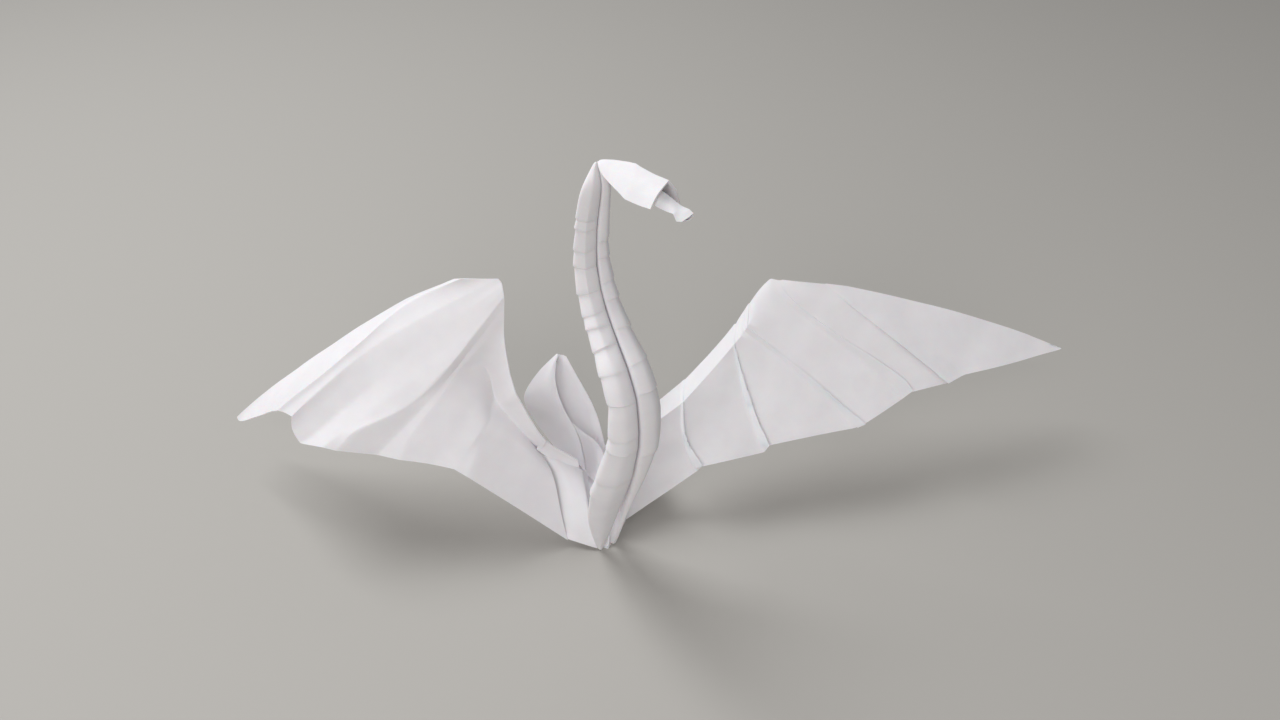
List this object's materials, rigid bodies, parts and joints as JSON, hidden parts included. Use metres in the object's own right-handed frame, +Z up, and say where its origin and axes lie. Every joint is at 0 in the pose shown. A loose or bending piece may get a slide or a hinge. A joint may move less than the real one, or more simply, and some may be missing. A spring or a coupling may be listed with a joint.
{
  "type": "origami swan",
  "caption": "Swan folded from one square sheet of plain paper: raised pleated wings, a crimped S-shaped neck, a small hooded head and an upright tail leaf.",
  "frame": {"origin": "middle of the bounding box, on the surface that the swan stands on", "axes": "+X towards the tip of the swan's own left wing, -Y forwards along its breast, +Z up"},
  "size_m": [0.2184, 0.0642, 0.1137],
  "materials": {
    "paper": "uncoated matt"
  },
  "bodies": {
    "root": {"folded_sheet": "paper"}
  },
  "joints": []
}
